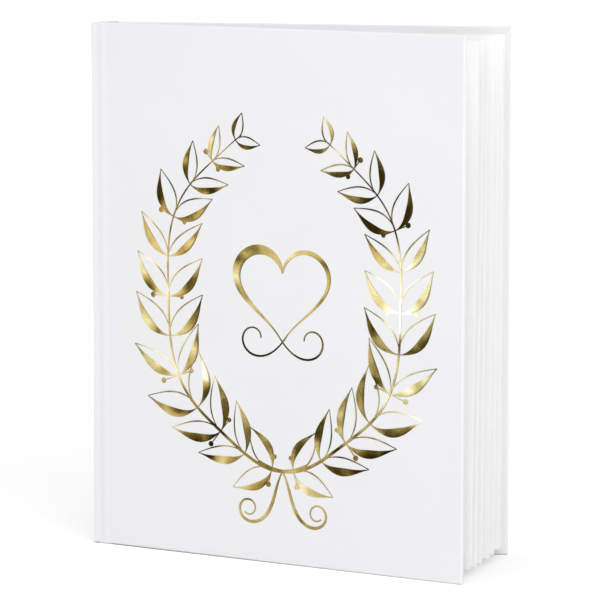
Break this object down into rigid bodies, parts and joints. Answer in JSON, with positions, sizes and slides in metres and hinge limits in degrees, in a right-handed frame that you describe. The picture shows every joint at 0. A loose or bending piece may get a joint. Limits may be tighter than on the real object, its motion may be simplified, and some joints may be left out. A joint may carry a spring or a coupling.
{
  "type": "wedding guest book",
  "caption": "Case-bound guest book standing part open on its tail: wrapped board covers hinged at a flat spine, with fanned card leaves",
  "frame": {"origin": "middle of the tail face of the spine panel, on the surface that the book stands on", "axes": "+X from the spine to the fore-edge, +Y from the front cover to the back cover, +Z from the tail up to the head"},
  "size_m": [0.1911, 0.0714, 0.245],
  "materials": {
    "laminated_sheet": "matt laminated white paper",
    "greyboard": "plain greyboard",
    "endpaper": "smooth uncoated white paper",
    "leaf_card": "smooth uncoated white card",
    "gauze": "starched open cotton gauze",
    "binding_glue": "flexible binding glue",
    "lining_paper": "plain kraft lining",
    "band_cloth": "woven cotton"
  },
  "bodies": {
    "spine": {"spine_board": "greyboard", "spine_wrap": "laminated_sheet", "spine_glue": "binding_glue", "spine_mull": "gauze", "spine_lining": "lining_paper", "head_band": "band_cloth", "tail_band": "band_cloth", "front_joint_wrap": "laminated_sheet", "back_joint_wrap": "laminated_sheet"},
    "front_flyleaf": {"front_flyleaf": "endpaper", "front_endpaper_joint": "endpaper"},
    "front_cover": {"front_cover_wrap": "laminated_sheet", "front_board": "greyboard", "front_mull_flange": "gauze", "front_pastedown": "endpaper"},
    "back_flyleaf": {"back_flyleaf": "endpaper", "back_endpaper_joint": "endpaper"},
    "back_cover": {"back_cover_wrap": "laminated_sheet", "back_board": "greyboard", "back_mull_flange": "gauze", "back_pastedown": "endpaper"},
    "leaf_01": {"leaf_01": "leaf_card"},
    "leaf_02": {"leaf_02": "leaf_card"},
    "leaf_03": {"leaf_03": "leaf_card"},
    "leaf_04": {"leaf_04": "leaf_card"},
    "leaf_05": {"leaf_05": "leaf_card"},
    "leaf_06": {"leaf_06": "leaf_card"},
    "leaf_07": {"leaf_07": "leaf_card"},
    "leaf_08": {"leaf_08": "leaf_card"},
    "leaf_09": {"leaf_09": "leaf_card"},
    "leaf_10": {"leaf_10": "leaf_card"},
    "leaf_11": {"leaf_11": "leaf_card"},
    "leaf_12": {"leaf_12": "leaf_card"},
    "leaf_13": {"leaf_13": "leaf_card"},
    "leaf_14": {"leaf_14": "leaf_card"},
    "leaf_15": {"leaf_15": "leaf_card"},
    "leaf_16": {"leaf_16": "leaf_card"},
    "leaf_17": {"leaf_17": "leaf_card"},
    "leaf_18": {"leaf_18": "leaf_card"},
    "leaf_19": {"leaf_19": "leaf_card"},
    "leaf_20": {"leaf_20": "leaf_card"},
    "leaf_21": {"leaf_21": "leaf_card"},
    "leaf_22": {"leaf_22": "leaf_card"}
  },
  "joints": [
    {"name": "front_pages_fan", "type": "hinge", "parent": "spine", "child": "front_flyleaf", "pos_m": [0.00275, -0.00345, 0], "axis": [0, 0, -1], "range_deg": [-7.6, 37.4]},
    {"name": "front_cover_hinge", "type": "hinge", "parent": "front_flyleaf", "child": "front_cover", "pos_m": [0.00275, -0.00345, 0], "axis": [0, 0, -1], "range_deg": [-1.3, 133.7], "deforming": ["front_joint_wrap", "front_endpaper_joint"]},
    {"name": "back_pages_fan", "type": "hinge", "parent": "spine", "child": "back_flyleaf", "pos_m": [0.00275, 0.00345, 0], "axis": [0, 0, 1], "range_deg": [-8.9, 36.1]},
    {"name": "back_cover_hinge", "type": "hinge", "parent": "back_flyleaf", "child": "back_cover", "pos_m": [0.00275, 0.00345, 0], "axis": [0, 0, 1], "range_deg": [0, 135], "deforming": ["back_joint_wrap", "back_endpaper_joint"]},
    {"name": "leaf_01_turn", "type": "hinge", "parent": "spine", "child": "leaf_01", "pos_m": [0.00275, -0.003, 0], "axis": [0, 0, -1], "range_deg": [-5.24, 25.81]},
    {"name": "leaf_02_turn", "type": "hinge", "parent": "spine", "child": "leaf_02", "pos_m": [0.00275, -0.00271, 0], "axis": [0, 0, -1], "range_deg": [-5.24, 25.81]},
    {"name": "leaf_03_turn", "type": "hinge", "parent": "spine", "child": "leaf_03", "pos_m": [0.00275, -0.00243, 0], "axis": [0, 0, -1], "range_deg": [-5.24, 25.81]},
    {"name": "leaf_04_turn", "type": "hinge", "parent": "spine", "child": "leaf_04", "pos_m": [0.00275, -0.00214, 0], "axis": [0, 0, -1], "range_deg": [-5.24, 25.81]},
    {"name": "leaf_05_turn", "type": "hinge", "parent": "spine", "child": "leaf_05", "pos_m": [0.00275, -0.00186, 0], "axis": [0, 0, -1], "range_deg": [-3.5, 17.2]},
    {"name": "leaf_06_turn", "type": "hinge", "parent": "spine", "child": "leaf_06", "pos_m": [0.00275, -0.00157, 0], "axis": [0, 0, -1], "range_deg": [-3.5, 17.2]},
    {"name": "leaf_07_turn", "type": "hinge", "parent": "spine", "child": "leaf_07", "pos_m": [0.00275, -0.00128, 0], "axis": [0, 0, -1], "range_deg": [-3.5, 17.2]},
    {"name": "leaf_08_turn", "type": "hinge", "parent": "spine", "child": "leaf_08", "pos_m": [0.00275, -0.001, 0], "axis": [0, 0, -1], "range_deg": [-3.5, 17.2]},
    {"name": "leaf_09_turn", "type": "hinge", "parent": "spine", "child": "leaf_09", "pos_m": [0.00275, -0.00071, 0], "axis": [0, 0, -1], "range_deg": [-1.44, 7.11]},
    {"name": "leaf_10_turn", "type": "hinge", "parent": "spine", "child": "leaf_10", "pos_m": [0.00275, -0.00043, 0], "axis": [0, 0, -1], "range_deg": [-1.44, 7.11]},
    {"name": "leaf_11_turn", "type": "hinge", "parent": "spine", "child": "leaf_11", "pos_m": [0.00275, -0.00014, 0], "axis": [0, 0, -1], "range_deg": [-1.44, 7.11]},
    {"name": "leaf_12_turn", "type": "hinge", "parent": "spine", "child": "leaf_12", "pos_m": [0.00275, 0.00014, 0], "axis": [0, 0, -1], "range_deg": [-1.44, 7.11]},
    {"name": "leaf_13_turn", "type": "hinge", "parent": "spine", "child": "leaf_13", "pos_m": [0.00275, 0.00043, 0], "axis": [0, 0, 1], "range_deg": [-3.03, 12.27]},
    {"name": "leaf_14_turn", "type": "hinge", "parent": "spine", "child": "leaf_14", "pos_m": [0.00275, 0.00071, 0], "axis": [0, 0, 1], "range_deg": [-3.03, 12.27]},
    {"name": "leaf_15_turn", "type": "hinge", "parent": "spine", "child": "leaf_15", "pos_m": [0.00275, 0.001, 0], "axis": [0, 0, 1], "range_deg": [-5.43, 22.02]},
    {"name": "leaf_16_turn", "type": "hinge", "parent": "spine", "child": "leaf_16", "pos_m": [0.00275, 0.00128, 0], "axis": [0, 0, 1], "range_deg": [-5.43, 22.02]},
    {"name": "leaf_17_turn", "type": "hinge", "parent": "spine", "child": "leaf_17", "pos_m": [0.00275, 0.00157, 0], "axis": [0, 0, 1], "range_deg": [-5.43, 22.02]},
    {"name": "leaf_18_turn", "type": "hinge", "parent": "spine", "child": "leaf_18", "pos_m": [0.00275, 0.00186, 0], "axis": [0, 0, 1], "range_deg": [-5.43, 22.02]},
    {"name": "leaf_19_turn", "type": "hinge", "parent": "spine", "child": "leaf_19", "pos_m": [0.00275, 0.00214, 0], "axis": [0, 0, 1], "range_deg": [-7.83, 31.77]},
    {"name": "leaf_20_turn", "type": "hinge", "parent": "spine", "child": "leaf_20", "pos_m": [0.00275, 0.00243, 0], "axis": [0, 0, 1], "range_deg": [-7.83, 31.77]},
    {"name": "leaf_21_turn", "type": "hinge", "parent": "spine", "child": "leaf_21", "pos_m": [0.00275, 0.00271, 0], "axis": [0, 0, 1], "range_deg": [-7.83, 31.77]},
    {"name": "leaf_22_turn", "type": "hinge", "parent": "spine", "child": "leaf_22", "pos_m": [0.00275, 0.003, 0], "axis": [0, 0, 1], "range_deg": [-7.83, 31.77]}
  ],
  "couplings": [
    {"joint": "leaf_01_turn", "follows": "front_pages_fan", "ratio": 0.69},
    {"joint": "leaf_02_turn", "follows": "front_pages_fan", "ratio": 0.69},
    {"joint": "leaf_03_turn", "follows": "front_pages_fan", "ratio": 0.69},
    {"joint": "leaf_04_turn", "follows": "front_pages_fan", "ratio": 0.69},
    {"joint": "leaf_05_turn", "follows": "front_pages_fan", "ratio": 0.46},
    {"joint": "leaf_06_turn", "follows": "front_pages_fan", "ratio": 0.46},
    {"joint": "leaf_07_turn", "follows": "front_pages_fan", "ratio": 0.46},
    {"joint": "leaf_08_turn", "follows": "front_pages_fan", "ratio": 0.46},
    {"joint": "leaf_09_turn", "follows": "front_pages_fan", "ratio": 0.19},
    {"joint": "leaf_10_turn", "follows": "front_pages_fan", "ratio": 0.19},
    {"joint": "leaf_11_turn", "follows": "front_pages_fan", "ratio": 0.19},
    {"joint": "leaf_12_turn", "follows": "front_pages_fan", "ratio": 0.19},
    {"joint": "leaf_13_turn", "follows": "back_pages_fan", "ratio": 0.34},
    {"joint": "leaf_14_turn", "follows": "back_pages_fan", "ratio": 0.34},
    {"joint": "leaf_15_turn", "follows": "back_pages_fan", "ratio": 0.61},
    {"joint": "leaf_16_turn", "follows": "back_pages_fan", "ratio": 0.61},
    {"joint": "leaf_17_turn", "follows": "back_pages_fan", "ratio": 0.61},
    {"joint": "leaf_18_turn", "follows": "back_pages_fan", "ratio": 0.61},
    {"joint": "leaf_19_turn", "follows": "back_pages_fan", "ratio": 0.88},
    {"joint": "leaf_20_turn", "follows": "back_pages_fan", "ratio": 0.88},
    {"joint": "leaf_21_turn", "follows": "back_pages_fan", "ratio": 0.88},
    {"joint": "leaf_22_turn", "follows": "back_pages_fan", "ratio": 0.88}
  ]
}
